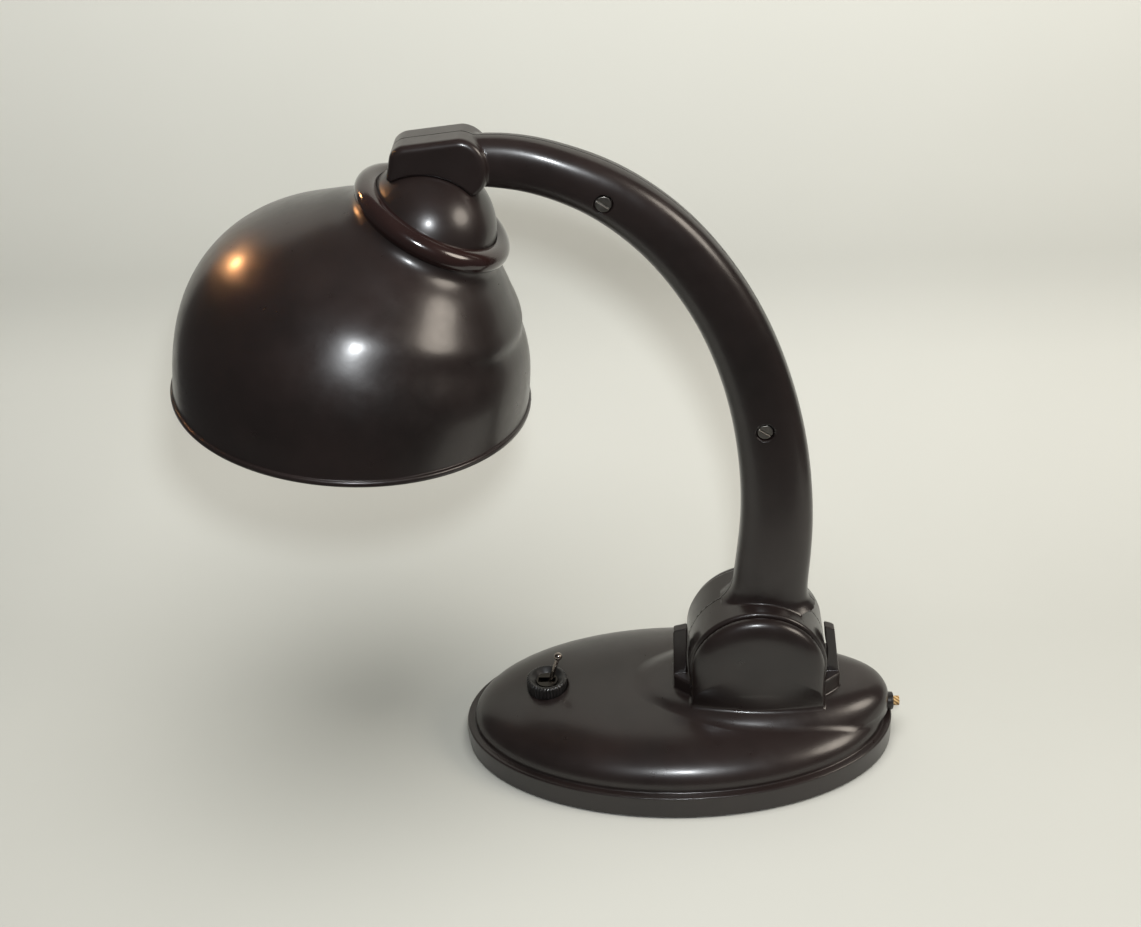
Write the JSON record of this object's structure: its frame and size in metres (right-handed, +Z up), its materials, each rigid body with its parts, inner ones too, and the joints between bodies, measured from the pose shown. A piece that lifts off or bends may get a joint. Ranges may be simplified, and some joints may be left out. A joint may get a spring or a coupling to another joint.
{
  "type": "articulated desk lamp",
  "caption": "Moulded phenolic desk lamp: oval weighted base with toggle switch, curved tilting arm and a bowl shade on a ball joint.",
  "frame": {"origin": "centre of the oval base's underside, on the table", "axes": "+Z up, +X towards the hinge and cable end of the base, the shade hangs over -X, the lamp is symmetric about Y = 0"},
  "size_m": [0.3737, 0.1804, 0.365],
  "materials": {
    "bakelite": "glossy moulded phenolic, very dark brown",
    "bakelite_red": "glossy moulded phenolic, slightly redder",
    "bakelite_black": "moulded phenolic, near black",
    "ceramic": "unglazed terminal porcelain",
    "steel": "zinc plated steel",
    "felt": "pressed felt",
    "cast_iron": "raw casting",
    "nickel": "nickel plate",
    "brass": "turned brass",
    "cloth_flex": "braided cotton over rubber",
    "rubber_core": "rubber insulated cores",
    "fibre": "vulcanised fibre",
    "glass": "clear blown glass"
  },
  "bodies": {
    "base": {"base_shell": "bakelite", "base_plate": "steel", "base_felt": "felt", "counterweight": "cast_iron", "weight_screws": "steel", "plate_screws": "steel", "switch_body": "bakelite_black", "switch_bush": "nickel", "switch_pin": "steel", "switch_nut": "bakelite_black", "switch_terminals": "brass", "cable_gland": "bakelite_black", "mains_flex": "cloth_flex", "cord_clamp": "steel", "terminal_block": "ceramic", "terminal_screws": "brass", "base_wires": "rubber_core", "pivot_bolt": "steel", "pivot_washer": "steel", "pivot_insert": "brass", "friction_discs": "fibre"},
    "toggle": {"switch_lever": "nickel"},
    "arm": {"arm_half_front": "bakelite", "arm_half_rear": "bakelite", "arm_screws": "nickel", "arm_inserts": "brass", "arm_flex": "rubber_core", "ball_housing": "bakelite", "ball_nipple": "brass", "nipple_nuts": "brass", "lampholder": "bakelite_black", "holder_plungers": "brass", "holder_collar": "bakelite_black", "bulb_cap": "brass", "bulb_glass": "glass"},
    "tilt_seat": {"friction_ring": "fibre", "spring_ring": "steel"},
    "shade": {"shade": "bakelite", "collar_ring": "bakelite_red"}
  },
  "joints": [
    {"name": "arm_tilt", "type": "hinge", "parent": "base", "child": "arm", "pos_m": [0.0437, 0, 0.06157], "axis": [0, 1, 0], "range_deg": [-24, 16.5]},
    {"name": "toggle_flip", "type": "hinge", "parent": "base", "child": "toggle", "pos_m": [-0.0733, 0, 0.0315], "axis": [0, 1, 0], "range_deg": [-34, 0]},
    {"name": "shade_tilt", "type": "hinge", "parent": "arm", "child": "tilt_seat", "pos_m": [-0.11396, 0, 0.31686], "axis": [0, 1, 0], "range_deg": [-24, 8]},
    {"name": "shade_swivel", "type": "hinge", "parent": "tilt_seat", "child": "shade", "pos_m": [-0.11396, 0, 0.31686], "axis": [0.509, 0, 0.8607], "continuous": true}
  ]
}
